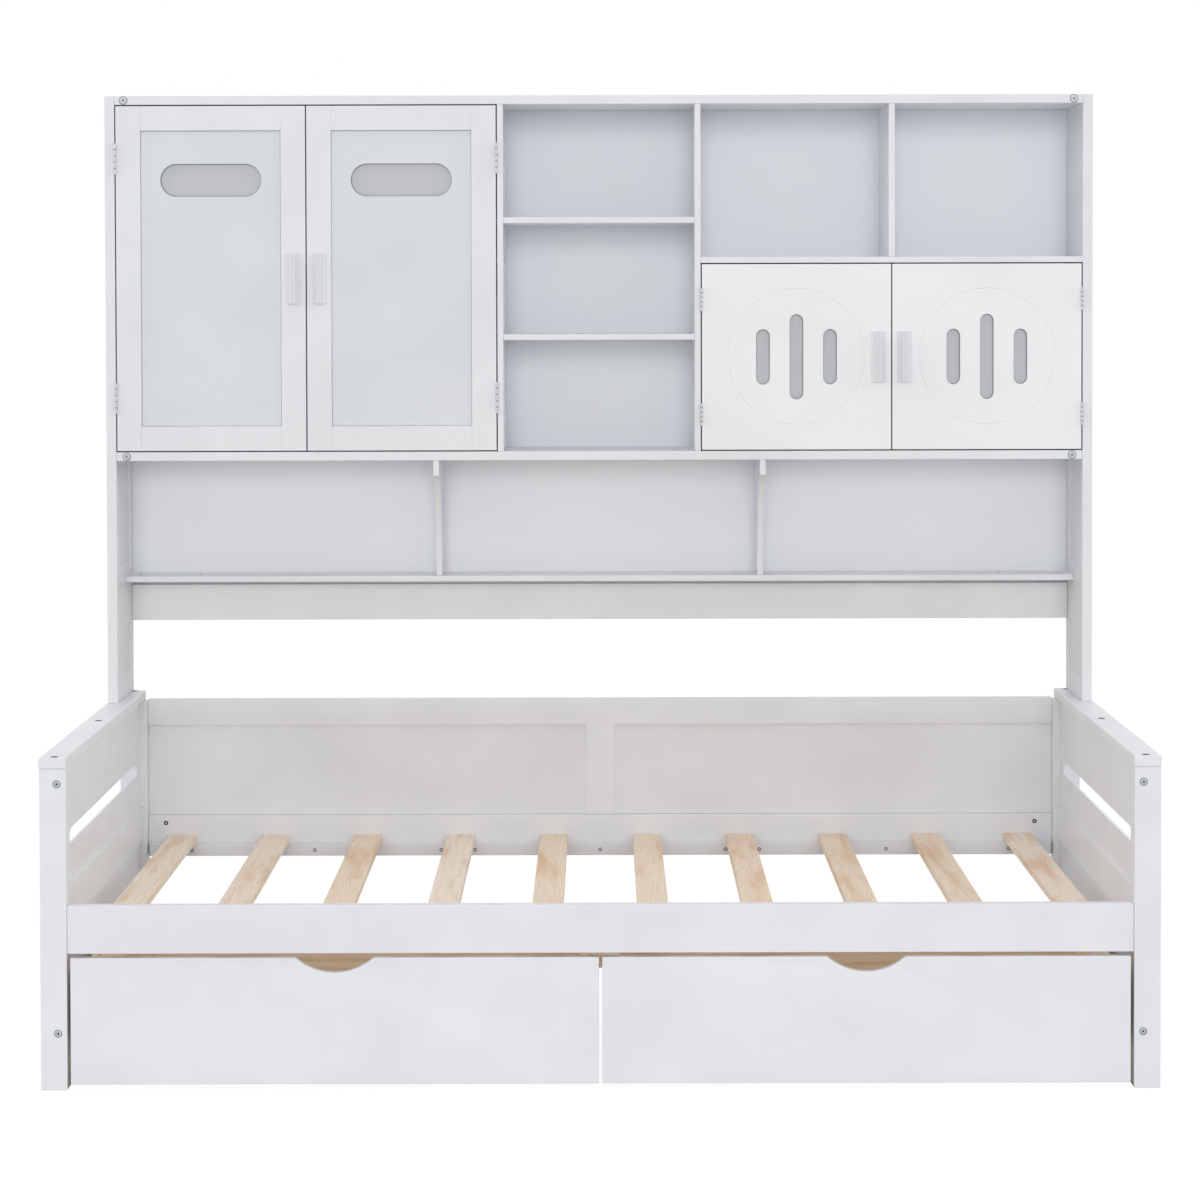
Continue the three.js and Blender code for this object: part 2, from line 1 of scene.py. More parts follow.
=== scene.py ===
# Storage daybed in white-painted pine and board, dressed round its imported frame
import json
import math

import bmesh
import bpy
from mathutils import Matrix, Vector


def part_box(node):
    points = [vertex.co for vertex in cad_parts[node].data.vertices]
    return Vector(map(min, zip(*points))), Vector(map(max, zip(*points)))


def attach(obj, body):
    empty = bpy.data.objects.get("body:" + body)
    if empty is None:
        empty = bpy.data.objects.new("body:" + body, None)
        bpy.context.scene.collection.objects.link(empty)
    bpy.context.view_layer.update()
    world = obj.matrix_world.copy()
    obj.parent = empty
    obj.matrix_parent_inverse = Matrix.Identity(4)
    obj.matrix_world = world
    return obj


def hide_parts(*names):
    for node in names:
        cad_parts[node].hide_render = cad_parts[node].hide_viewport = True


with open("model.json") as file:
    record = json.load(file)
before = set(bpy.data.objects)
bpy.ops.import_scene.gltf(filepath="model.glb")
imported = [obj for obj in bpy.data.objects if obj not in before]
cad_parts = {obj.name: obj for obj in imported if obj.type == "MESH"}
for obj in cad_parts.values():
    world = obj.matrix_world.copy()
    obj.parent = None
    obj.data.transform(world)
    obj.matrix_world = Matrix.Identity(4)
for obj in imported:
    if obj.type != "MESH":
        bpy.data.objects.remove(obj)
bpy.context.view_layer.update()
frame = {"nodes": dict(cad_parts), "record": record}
mm = 0.001
nodeBody = {
    node: body
    for body, nodes in frame["record"]["behaviour"]["bodies"].items()
    for node in nodes
}
nodeSlot = {part["node"]: part["material_slot"] for part in frame["record"]["subparts"]}
print("frame loaded:", len(frame["nodes"]), "nodes")

# Camera well back from the bed with a long lens: it looks a little down, as the posts in the
# photograph draw together towards their feet, and is rolled a touch and shifted down
camera = {
    "lensMm": 99.7,
    "sensorMm": 36,
    "place": (0.0, -6.4898, 1.4092),
    "turnDegrees": (88.4, 0.132, 0),
    "shift": (0.0008, -0.166),
}
cameraData = bpy.data.cameras.new("camera")
cameraData.lens = camera["lensMm"]
cameraData.sensor_width = camera["sensorMm"]
cameraData.shift_x, cameraData.shift_y = camera["shift"]
cameraObject = bpy.data.objects.new("camera", cameraData)
cameraObject.location = camera["place"]
cameraObject.rotation_euler = [math.radians(turn) for turn in camera["turnDegrees"]]
bpy.context.scene.collection.objects.link(cameraObject)
bpy.context.scene.camera = cameraObject
print("camera ready")

# The curve from the channels of a hex colour to linear light
srgb = {"knee": 0.04045, "slope": 12.92, "offset": 0.055, "power": 2.4}


def linearColour(hexCode):
    channels = [int(hexCode[i : i + 2], 16) / 255 for i in (0, 2, 4)]
    linear = [
        c / srgb["slope"] if c <= srgb["knee"]
        else ((c + srgb["offset"]) / (1 + srgb["offset"])) ** srgb["power"]
        for c in channels
    ]
    return (*linear, 1.0)


# A shader node with its settings, and its inputs as values or as the sockets that feed them
def addNode(tree, kind, settings, inputs):
    node = tree.nodes.new("ShaderNode" + kind)
    for name, value in settings.items():
        setattr(node, name, value)
    for key, value in inputs.items():
        if isinstance(value, bpy.types.NodeSocket):
            tree.links.new(value, node.inputs[key])
        else:
            node.inputs[key].default_value = value
    return node


def newMaterial(name):
    material = bpy.data.materials.new(name)
    material.use_nodes = True
    material.node_tree.nodes.clear()
    return material, material.node_tree


def finishMaterial(tree, inputs):
    shader = addNode(tree, "BsdfPrincipled", {}, inputs)
    addNode(tree, "OutputMaterial", {}, {"Surface": shader.outputs["BSDF"]})


# The nodes that the materials share, each returned as the socket that the next one reads
def addPlace(tree):
    return addNode(tree, "TexCoord", {}, {}).outputs["Object"]


def addMapping(tree, place, scale):
    return addNode(tree, "Mapping", {}, {"Vector": place, "Scale": scale}).outputs["Vector"]


def addNoise(tree, place, scale, detail=2.0, roughness=0.5):
    node = addNode(tree, "TexNoise", {}, {
        "Vector": place, "Scale": scale, "Detail": detail, "Roughness": roughness})
    return node.outputs["Fac"]


def addRange(tree, value, source, target):
    node = addNode(tree, "MapRange", {}, {
        "Value": value, "From Min": source[0], "From Max": source[1],
        "To Min": target[0], "To Max": target[1]})
    return node.outputs["Result"]


# A mix node has sockets of the same name for each type, so its colour ones go by number
mixSocket = {"first": 6, "second": 7, "result": 2}


def addMix(tree, factor, first, second):
    node = addNode(tree, "Mix", {"data_type": "RGBA"}, {
        "Factor": factor, mixSocket["first"]: first, mixSocket["second"]: second})
    return node.outputs[mixSocket["result"]]


def addBump(tree, height, riseMm, strength=0.3):
    node = addNode(tree, "Bump", {}, {
        "Height": height, "Strength": strength, "Distance": riseMm * mm})
    return node.outputs["Normal"]


noiseRange = (0.3, 0.7)  # most of a noise's values lie in this range


# Roughness that moves with a noise, by the margins below and above the material's own value
def addGloss(tree, noise, roughness, margins):
    below, above = margins
    return addRange(tree, noise, noiseRange, (roughness - below, roughness + above))


# Repeats in a metre of a pattern that has this size
def perMetre(sizeMm):
    return 1 / (sizeMm * mm)


# A value for each axis: one along the grain and another across it
def byGrain(grainAxis, along, across):
    return tuple(along if axis == grainAxis else across for axis in "XYZ")


# Satin acrylic paint rolled and sprayed on pine: it fills the pores, so the grain is only a faint
# rise in the gloss, and the coats leave soft patches a little darker than the rest
paint = {
    "colour": "EFF0F4",
    "patch": "E9EAEE",
    "roughness": 0.33,
    "glossMargins": (0.02, 0.03),
    "ior": 1.48,
    "grainMm": 7,  # real grain lines are about 2 mm, drawn coarser so that they show
    "grainLengthMm": 240,
    "patchMm": 170,
    "patchRange": (0.35, 0.7),
    "riseMm": 0.07,
    "bumpStrength": 0.12,
}
# The same on thin board with one coat less, a lighter copy on the short doors, and a greyer copy on
# the pulls whose grey is painted shade for their coves
otherPaints = {
    "satinPaintOnFibreboard": {**paint, "colour": "E4E7EB", "patch": "DFE3E7"},
    # a lighter copy of the paint for the short doors
    "satinPaintOnPlywood": {**paint, "colour": "F8F8FB", "patch": "F3F4F7"},
    # a greyer tone whose grey is painted shade for the pulls' coves and grooves
    "powderCoatOnZinc": {**paint, "colour": "E5E7EA", "patch": "E1E3E6"},
}


def satinPaint(name, look, grainAxis):
    material, tree = newMaterial(name + grainAxis)
    place = addPlace(tree)
    scale = byGrain(grainAxis, perMetre(look["grainLengthMm"]), perMetre(look["grainMm"]))
    grain = addNoise(tree, addMapping(tree, place, scale), 1.0, detail=1.0)
    patch = addNoise(tree, place, perMetre(look["patchMm"]))
    tone = addRange(tree, patch, look["patchRange"], (0.0, 1.0))
    finishMaterial(tree, {
        "Base Color": addMix(
            tree, tone, linearColour(look["colour"]), linearColour(look["patch"])),
        "Roughness": addGloss(tree, grain, look["roughness"], look["glossMargins"]),
        "IOR": look["ior"],
        "Normal": addBump(tree, grain, look["riseMm"], look["bumpStrength"])})
    return material


# Thin fibreboard with a white foil: flatter and cooler than the paint, with a fine even tooth
foil = {
    "colour": "F5F7FB", "patch": "EFF1F6",
    "roughness": 0.5, "ior": 1.5, "toothMm": 3, "patchMm": 260, "riseMm": 0.05,
}


def foilOnBoard(name):
    material, tree = newMaterial(name)
    place = addPlace(tree)
    tooth = addNoise(tree, place, perMetre(foil["toothMm"]), roughness=0.6)
    patch = addNoise(tree, place, perMetre(foil["patchMm"]), detail=1.0)
    finishMaterial(tree, {
        "Base Color": addMix(
            tree, patch, linearColour(foil["colour"]), linearColour(foil["patch"])),
        "Roughness": foil["roughness"],
        "IOR": foil["ior"],
        "Normal": addBump(tree, tooth, foil["riseMm"])})
    return material


# Planed and sanded wood left bare: rotary-cut birch on the slats, with broad flame figure, and
# sawn pine in the drawers, with straighter and darker lines
birchSlat = {
    "pale": "FEF0DE", "warm": "F9E3C8", "line": "D09555", "lineShare": 0.2, "poreShare": 0.12,
    "roughness": 0.5, "ior": 1.46, "figureMm": 8, "stretch": 0.11, "distortion": 26.0,
    "poreMm": 2.4, "poreLengthMm": 70, "cellMm": 196, "riseMm": 0.15,
    "tint": "E3AC78", "tintShare": 0.6, "tintMm": 30,
}
pineDrawer = {
    "pale": "FAEDDA", "warm": "F4E1C7", "line": "CFA87F", "lineShare": 0.34, "poreShare": 0.4,
    "roughness": 0.6, "ior": 1.46, "figureMm": 22, "stretch": 0.06, "distortion": 10.0,
    "poreMm": 2.8, "poreLengthMm": 110, "cellMm": 960, "riseMm": 0.2,
    "tint": "EBC79E", "tintShare": 0.35, "tintMm": 60,
}
# What both woods share: lengths and shifts in metres, then the part of each noise that shows
woodFigure = {
    "cellStart": 4.5, "cellLong": 9.0,  # a cell holds all of a board, along it and through it
    "boardShift": (3.0, 5.0, 2.0),
    "waveBand": 0.314,  # a wave texture of scale 1 has its bands this far apart
    "waveDetail": {"Detail": 3.0, "Detail Scale": 0.6, "Detail Roughness": 0.55},
    "tintRange": (0.5, 0.75), "lineRange": (0.65, 1.0), "poreRange": (0.5, 0.8),
}


def bareWood(name, wood, grainAxis, acrossAxis):
    material, tree = newMaterial(name)
    place = addPlace(tree)

    # Each board takes its own tone and its own stretch of the figure
    moved = addNode(tree, "VectorMath", {"operation": "ADD"}, {
        0: place, 1: byGrain(acrossAxis, 0.0, woodFigure["cellStart"])})
    cell = addNode(tree, "VectorMath", {"operation": "SNAP"}, {
        0: moved.outputs["Vector"],
        1: byGrain(acrossAxis, wood["cellMm"] * mm, woodFigure["cellLong"])})
    board = addNode(tree, "TexWhiteNoise", {}, {"Vector": cell.outputs["Vector"]})
    shifted = addNode(tree, "VectorMath", {"operation": "MULTIPLY_ADD"}, {
        0: board.outputs["Color"], 1: woodFigure["boardShift"], 2: place}).outputs["Vector"]

    figurePlace = addMapping(tree, shifted, byGrain(grainAxis, wood["stretch"], 1.0))
    figure = addNode(tree, "TexWave", {"bands_direction": acrossAxis}, {
        "Vector": figurePlace, "Scale": woodFigure["waveBand"] / (wood["figureMm"] * mm),
        "Distortion": wood["distortion"], **woodFigure["waveDetail"]}).outputs["Fac"]
    cloud = addNoise(tree, figurePlace, perMetre(wood["tintMm"]), detail=1.0)
    poreScale = byGrain(grainAxis, perMetre(wood["poreLengthMm"]), perMetre(wood["poreMm"]))
    pore = addNoise(tree, addMapping(tree, shifted, poreScale), 1.0, detail=3.0, roughness=0.6)

    colour = addMix(
        tree, board.outputs["Value"], linearColour(wood["pale"]), linearColour(wood["warm"]))
    for noise, shown, share, hexCode in (
            (cloud, "tintRange", "tintShare", "tint"),
            (figure, "lineRange", "lineShare", "line"),
            (pore, "poreRange", "poreShare", "line")):
        factor = addRange(tree, noise, woodFigure[shown], (0.0, wood[share]))
        colour = addMix(tree, factor, colour, linearColour(wood[hexCode]))
    finishMaterial(tree, {
        "Base Color": colour,
        "Roughness": wood["roughness"],
        "IOR": wood["ior"],
        "Normal": addBump(tree, pore, wood["riseMm"])})
    return material


# Acrylic sheet frosted on its face, with its gloss soft and broad: its grey base colour is painted
# shade, standing in for the dark cupboard seen through it
frosted = {
    "colour": "C9CBCE", "roughness": 0.38, "glossMargins": (0.04, 0.06), "ior": 1.49,
    "grainMm": 2.5, "riseMm": 0.04,
}


def frostedAcrylic(name):
    material, tree = newMaterial(name)
    frost = addNoise(tree, addPlace(tree), perMetre(frosted["grainMm"]), roughness=0.6)
    finishMaterial(tree, {
        # The grey is painted shade for the dark cupboard behind the pane
        "Base Color": linearColour(frosted["colour"]),
        "Roughness": addGloss(tree, frost, frosted["roughness"], frosted["glossMargins"]),
        "IOR": frosted["ior"],
        "Normal": addBump(tree, frost, frosted["riseMm"])})
    return material


# Metals: nickel-plated pressed steel on the hinges, zinc-plated steel on the bolts and fittings,
# and dark steel on the small screws; the same dark steel fills the fittings' recesses, slots and
# the hinge gaps as painted shade
metals = {
    "nickelPlatedSteel": {"colour": "E2E4E6", "roughness": 0.36, "streakMm": 1.2},
    "zincPlatedSteel": {"colour": "D3DADF", "roughness": 0.36, "streakMm": 1.5},
    # a dark colour that also stands as painted shade in recesses, slots and gaps
    "blackenedSteel": {"colour": "4A4744", "roughness": 0.5, "streakMm": 2.0},
}
metalGlossMargins = (0.06, 0.08)


def platedSteel(name):
    metal = metals[name]
    material, tree = newMaterial(name)
    streak = addNoise(tree, addPlace(tree), perMetre(metal["streakMm"]))
    finishMaterial(tree, {
        "Base Color": linearColour(metal["colour"]),
        "Metallic": 1.0,
        "Roughness": addGloss(tree, streak, metal["roughness"], metalGlossMargins)})
    return material


# Soft solids of one colour: near black moulded nylon on the drawer wheels, and silicone between the
# panes and the wood, coloured mid grey as painted shadow for the shade in the gap round each pane
softSolids = {
    "mouldedNylon": {
        "colour": "2E2F31", "roughness": 0.48, "ior": 1.53,
        "toothMm": 1.5, "toothDetail": 2.0, "riseMm": 0.06},
    "siliconeGlue": {
        # a mid grey that is painted shadow
        "colour": "85888A", "roughness": 0.42, "ior": 1.41,
        "toothMm": 4, "toothDetail": 1.0, "riseMm": 0.1},
}


def softSolid(name):
    look = softSolids[name]
    material, tree = newMaterial(name)
    tooth = addNoise(
        tree, addPlace(tree), perMetre(look["toothMm"]), detail=look["toothDetail"])
    finishMaterial(tree, {
        "Base Color": linearColour(look["colour"]),
        "Roughness": look["roughness"],
        "IOR": look["ior"],
        "Normal": addBump(tree, tooth, look["riseMm"])})
    return material


paintAlong = {axis: satinPaint("satinPaintOnPine", paint, axis) for axis in "XYZ"}
panelPaint, shortDoorPaint, pullPaintAndShade = (
    satinPaint(name, values, "Z") for name, values in otherPaints.items())
whiteFoil = foilOnBoard("whiteFoilOnFibreboard")
slatBirch = bareWood("bareBirch", birchSlat, "Y", "X")
sidePine = bareWood("barePine", pineDrawer, "X", "Z")
acrylic = frostedAcrylic("frostedAcrylicSheet")
nickel, zinc, darkSteelAndShade = (platedSteel(name) for name in metals)
wheelNylon, glueAndPaintedShadow = (softSolid(name) for name in softSolids)
print("materials ready:", len(bpy.data.materials))

# How close points are one, how flat faces are one, and which edges are eased or drawn sharp
meshing = {
    "mergeMm": 0.01,
    "fineMergeMm": 0.001,
    "flatDegrees": 0.5,
    "easedDegrees": 35,
    "easedSegments": 2,
    "easedProfile": 0.5,
    "smoothDegrees": 20,
}


# A board between two corners, in metres
def addBoard(shape, low, high):
    verts = bmesh.ops.create_cube(shape, size=1.0)["verts"]
    size = [b - a for a, b in zip(low, high)]
    middle = [(a + b) / 2 for a, b in zip(low, high)]
    bmesh.ops.scale(shape, vec=size, verts=verts)
    bmesh.ops.translate(shape, vec=middle, verts=verts)


def softenEdges(shape, edgeMm):
    limit = math.radians(meshing["easedDegrees"])
    sharp = [
        edge for edge in shape.edges
        if len(edge.link_faces) == 2 and edge.calc_face_angle() > limit
    ]
    bmesh.ops.bevel(
        shape, geom=sharp, offset=edgeMm * mm, offset_type="OFFSET", affect="EDGES",
        segments=meshing["easedSegments"], profile=meshing["easedProfile"], material=-1,
        clamp_overlap=True)


# A turned piece about its own Z: radius and height of each corner in millimetres, axis to axis
def turnedShape(profile, steps):
    shape = bmesh.new()
    corners = [shape.verts.new((radius * mm, 0, height * mm)) for radius, height in profile]
    edges = [shape.edges.new(pair) for pair in zip(corners, corners[1:])]
    bmesh.ops.spin(
        shape, geom=corners + edges, cent=(0, 0, 0), axis=(0, 0, 1),
        angle=2 * math.pi, steps=steps, use_merge=True)
    bmesh.ops.remove_doubles(shape, verts=shape.verts[:], dist=meshing["fineMergeMm"] * mm)
    return shape


# Copies of a small shape, its Z turned to where they face, go into a larger one
def addCopies(shape, small, places, facing=(0, 0, 1)):
    turn = Vector((0, 0, 1)).rotation_difference(Vector(facing)).to_matrix().to_4x4()
    mesh = bpy.data.meshes.new("small")
    small.to_mesh(mesh)
    small.free()
    for place in places:
        before = set(shape.verts)
        shape.from_mesh(mesh)
        added = [vert for vert in shape.verts if vert not in before]
        bmesh.ops.transform(shape, matrix=Matrix.Translation(place) @ turn, verts=added)
    bpy.data.meshes.remove(mesh)


# A node's mesh comes as loose triangles, so the copy is merged and its flat faces made whole
def nodeCopy(node):
    shape = bmesh.new()
    shape.from_mesh(frame["nodes"][node].data)
    bmesh.ops.remove_doubles(shape, verts=shape.verts[:], dist=meshing["mergeMm"] * mm)
    bmesh.ops.dissolve_limit(
        shape, angle_limit=math.radians(meshing["flatDegrees"]),
        verts=shape.verts[:], edges=shape.edges[:])
    return shape


def pieceName(node):
    first, *rest = node.split("_")
    return first + "".join(word.capitalize() for word in rest)


def finishPiece(shape, name, material, body, replaced=()):
    bmesh.ops.recalc_face_normals(shape, faces=shape.faces[:])
    mesh = bpy.data.meshes.new(name)
    shape.to_mesh(mesh)
    shape.free()
    mesh.shade_smooth()
    mesh.set_sharp_from_angle(angle=math.radians(meshing["smoothDegrees"]))
    mesh.materials.append(material)
    piece = bpy.data.objects.new(name, mesh)
    bpy.context.scene.collection.objects.link(piece)
    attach(piece, body)
    if replaced:
        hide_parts(*replaced)


# Parts whose shape is right in the frame: they get eased edges and their finish
keptShapes = {
    "posts": {
        "nodes": ["left_front_post", "left_back_post", "right_front_post", "right_back_post"],
        "edgeMm": 1.6, "material": paintAlong["Z"]},
    "caps": {
        "nodes": ["left_end_cap", "right_end_cap"], "edgeMm": 2.0, "material": paintAlong["Y"]},
    "rails": {
        "nodes": ["front_rail", "back_bottom_rail", "lower_rail"],
        "edgeMm": 1.8, "material": paintAlong["X"]},
    "backFrame": {"nodes": ["back_frame"], "edgeMm": 0.8, "material": paintAlong["X"]},
    "hutchSides": {
        "nodes": ["hutch_left_side", "hutch_right_side"],
        "edgeMm": 1.0, "material": paintAlong["Z"]},
    "hutchLong": {
        "nodes": ["hutch_top", "cabinet_floor", "lower_shelf"],
        "edgeMm": 1.0, "material": paintAlong["X"]},
    "shelves": {
        "nodes": ["column_upper_shelf", "column_lower_shelf", "right_shelf", "cabinet_shelf"],
        "edgeMm": 0.8, "material": paintAlong["X"]},
    "uprights": {
        "nodes": ["left_divider", "right_divider", "cubby_divider"],
        "edgeMm": 0.8, "material": paintAlong["Z"]},
    "brackets": {
        "nodes": ["left_bracket", "right_bracket"], "edgeMm": 0.8, "material": paintAlong["Z"]},
    "drawerFronts": {
        "nodes": ["left_drawer_front", "right_drawer_front"],
        "edgeMm": 1.5, "material": paintAlong["X"]},
    "shortDoors": {
        "nodes": ["short_left_door", "short_right_door"],
        "edgeMm": 1.1, "material": shortDoorPaint},
    "pulls": {
        "nodes": ["tall_left_pull", "tall_right_pull", "short_left_pull", "short_right_pull"],
        "edgeMm": 0.2, "material": pullPaintAndShade},
    "backSheet": {"nodes": ["hutch_back"], "edgeMm": 0.3, "material": whiteFoil},
    "panes": {
        "nodes": ["short_left_pane", "short_right_pane", "tall_left_pane", "tall_right_pane"],
        "edgeMm": 0.4, "material": acrylic},
    "wheels": {
        "nodes": sorted(node for node in frame["nodes"] if node.endswith("_wheel")),
        "edgeMm": 0.5, "material": wheelNylon},
    "trays": {
        "nodes": ["left_drawer_tray", "right_drawer_tray"], "edgeMm": 0.8, "material": sidePine},
}
for group in keptShapes.values():
    for node in group["nodes"]:
        shape = nodeCopy(node)
        softenEdges(shape, group["edgeMm"])
        finishPiece(
            shape, pieceName(node), group["material"], nodeBody[node], [node])
print("kept shapes ready")

# Tall doors: two stiles and two rails, butt-jointed, round a thin panel with a round-ended opening
tallDoor = {
    "frameMm": 50,
    "recessMm": 5,
    "tongueMm": 6,
    "grooveMm": (1.6, 3.0),  # width and depth of the open joint round the panel's face
    "overlapMm": 0.2,
    "edgeMm": 0.6,
    "openingMm": (206, 67),
    "openingDropMm": 151,
    "openingSteps": 48,
}


# A panel that lies in X and Z, with a round-ended opening that is longer along X
def addPanelWithOpening(shape, low, high, openingMiddle, opening, steps):
    radius = opening[1] / 2
    slide = opening[0] / 2 - radius
    ring = bmesh.ops.create_circle(
        shape, cap_ends=False, segments=steps, radius=radius)["verts"]
    bmesh.ops.rotate(shape, verts=ring, matrix=Matrix.Rotation(math.pi / steps, 3, "Z"))
    for side in (-1, 1):
        half = [vert for vert in ring if vert.co.x * side > 0]
        bmesh.ops.translate(shape, verts=half, vec=(side * slide, 0, 0))
    bmesh.ops.translate(shape, verts=ring, vec=(openingMiddle.x, openingMiddle.z, 0))
    border = bmesh.ops.create_grid(shape, x_segments=1, y_segments=1, size=0.5)["verts"]
    bmesh.ops.scale(shape, verts=border, vec=(high.x - low.x, high.z - low.z, 1))
    bmesh.ops.translate(
        shape, verts=border, vec=((low.x + high.x) / 2, (low.z + high.z) / 2, 0))
    filled = list({face for vert in border for face in vert.link_faces})
    bmesh.ops.delete(shape, geom=filled, context="FACES_ONLY")
    verts = ring + border
    loops = list({edge for vert in verts for edge in vert.link_edges})
    bridge = bmesh.ops.bridge_loops(shape, edges=loops)["faces"]
    bmesh.ops.rotate(shape, verts=verts, matrix=Matrix.Rotation(math.pi / 2, 3, "X"))
    bmesh.ops.translate(shape, verts=verts, vec=(0, high.y, 0))
    front = bmesh.ops.extrude_face_region(shape, geom=bridge, use_keep_orig=True)["geom"]
    moved = [item for item in front if isinstance(item, bmesh.types.BMVert)]
    bmesh.ops.translate(shape, verts=moved, vec=(0, low.y - high.y, 0))


def makeTallDoor(label):
    node = label + "_door"
    low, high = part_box(node)
    width = tallDoor["frameMm"] * mm
    shape = bmesh.new()
    for x0, x1 in ((low.x, low.x + width), (high.x - width, high.x)):
        addBoard(shape, (x0, low.y, low.z), (x1, high.y, high.z))
    for z0, z1 in ((low.z, low.z + width), (high.z - width, high.z)):
        addBoard(shape, (low.x + width, low.y, z0), (high.x - width, high.y, z1))
    softenEdges(shape, tallDoor["edgeMm"])

    # The panel's wide back part stands in the frame, and its face is smaller by an open joint
    recess = tallDoor["recessMm"] * mm
    grooveWidth, grooveDepth = (size * mm for size in tallDoor["grooveMm"])
    middle = Vector(((low.x + high.x) / 2, 0, high.z - tallDoor["openingDropMm"] * mm))
    opening = [size * mm for size in tallDoor["openingMm"]]
    face = recess + grooveDepth
    panel = bmesh.new()
    for inset, front, back in (
            (width - tallDoor["tongueMm"] * mm, face, high.y - low.y - recess),
            (width + grooveWidth, recess, face + tallDoor["overlapMm"] * mm)):
        addPanelWithOpening(
            panel, Vector((low.x + inset, low.y + front, low.z + inset)),
            Vector((high.x - inset, low.y + back, high.z - inset)),
            middle, opening, tallDoor["openingSteps"])
    name, body, slot = pieceName(node), nodeBody[node], nodeSlot[node]
    finishPiece(shape, name, paintAlong["Z"], body, [node])
    finishPiece(panel, name + "Panel", panelPaint, body, [node])


for label in ("tall_left", "tall_right"):
    makeTallDoor(label)
print("tall doors ready")

# The bead of glue that holds each pane, coloured as painted shadow: the thin grey line it draws
# round every opening stands in for the shade in the gap between door and pane
bead = {"wideMm": 1.1, "deepMm": 1.6, "borderMm": 20, "sideLimit": 0.1}


# It grows from the sides of the door's openings: the faces that look along the door and lie well
# inside its border, cut to the depth just before the pane
def makePaneShadowBead(label):
    door, pane = label + "_door", label + "_pane"
    low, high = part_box(door)
    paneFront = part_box(pane)[0].y
    border = bead["borderMm"] * mm

    def isOpeningSide(face):
        middle = face.calc_center_median()
        return (
            abs(face.normal.y) <= bead["sideLimit"]
            and low.x + border < middle.x < high.x - border
            and low.z + border < middle.z < high.z - border)

    shape = nodeCopy(door)
    others = [face for face in shape.faces if not isOpeningSide(face)]
    bmesh.ops.delete(shape, geom=others, context="FACES")
    for y, keepBack in ((paneFront - bead["deepMm"] * mm, True), (paneFront, False)):
        bmesh.ops.bisect_plane(
            shape, geom=shape.verts[:] + shape.edges[:] + shape.faces[:],
            dist=meshing["fineMergeMm"] * mm, plane_co=(0, y, 0), plane_no=(0, 1, 0),
            clear_inner=keepBack, clear_outer=not keepBack)
    bmesh.ops.solidify(shape, geom=shape.faces[:], thickness=-bead["wideMm"] * mm)
    # Its grey is painted shadow along the edges of the opening
    finishPiece(shape, pieceName(label + "_bead"), glueAndPaintedShadow, nodeBody[pane])


for label in ("tall_left", "tall_right", "short_left", "short_right"):
    makePaneShadowBead(label)
print("pane beads ready")

# Ends of the bed between their posts: three rails with a thin board in each space, the upper board
# with a long hand slot
endPanel = {
    "bottomRailTopMm": 134,
    "middleRailMm": (290, 362),
    "topRailBottomMm": 524.5,
    "topRailRecessMm": 5.5,
    "boardRecessMm": 6.5,
    "boardMm": 5,
    "tongueMm": 6,
    "slotMm": (431, 459),
    "slotMarginMm": 44,
    "slotSteps": 32,
    "edgeMm": 1.4,
    "boardEdgeMm": 0.5,
}


def makeEndPanel(label, side):
    node = label + "_end_panel"
    low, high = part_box(node)
    bottomTop, topBottom, topRecess, boardRecess, boardThick, tongue, slotMargin = (
        endPanel[key] * mm for key in (
            "bottomRailTopMm", "topRailBottomMm", "topRailRecessMm", "boardRecessMm",
            "boardMm", "tongueMm", "slotMarginMm"))
    middleLow, middleHigh = (z * mm for z in endPanel["middleRailMm"])
    slotLow, slotHigh = (z * mm for z in endPanel["slotMm"])

    # Depths run outwards from the inner face, so they mirror from one end to the other
    def across(inner, outer):
        innerFace = high.x if side < 0 else low.x
        return sorted((innerFace + side * inner, innerFace + side * outer))

    def finish(shape, name, edgeMm):
        softenEdges(shape, edgeMm)
        finishPiece(shape, label + "End" + name, paintAlong["Y"], "root", [node])

    deep = high.x - low.x
    for name, recess, z0, z1 in (
            ("BottomRail", 0, low.z, bottomTop),
            ("MiddleRail", 0, middleLow, middleHigh),
            ("TopRail", topRecess, topBottom, high.z)):
        x0, x1 = across(recess, deep)
        shape = bmesh.new()
        addBoard(shape, (x0, low.y, z0), (x1, high.y, z1))
        finish(shape, name, endPanel["edgeMm"])

    x0, x1 = across(boardRecess, boardRecess + boardThick)
    shape = bmesh.new()
    addBoard(shape, (x0, low.y, bottomTop - tongue), (x1, high.y, middleLow + tongue))
    finish(shape, "LowerBoard", endPanel["boardEdgeMm"])

    # Made along X like a door's panel, then turned to run along Y
    shape = bmesh.new()
    addPanelWithOpening(
        shape, Vector((low.y, -x1, middleHigh - tongue)),
        Vector((high.y, -x0, topBottom + tongue)),
        Vector(((low.y + high.y) / 2, 0, (slotLow + slotHigh) / 2)),
        (high.y - low.y - 2 * slotMargin, slotHigh - slotLow), endPanel["slotSteps"])
    bmesh.ops.rotate(shape, verts=shape.verts[:], matrix=Matrix.Rotation(math.pi / 2, 3, "Z"))
    finish(shape, "SlottedBoard", endPanel["boardEdgeMm"])


makeEndPanel("left", -1)
makeEndPanel("right", 1)
print("end panels ready")

# Slats, the two ledgers that carry them, and the block under the front one that stops the drawers
slats = {
    "count": 10, "firstMm": -911, "pitchMm": 196, "widthMm": 58, "thickMm": 16,
    "endPlayMm": 0.75, "edgeMm": 1.6,
}
ledgers = {"deepMm": 20, "highMm": 26, "edgeMm": 1.2}
stopBlock = {"widthMm": 70, "deepMm": 35, "edgeMm": 1.0}


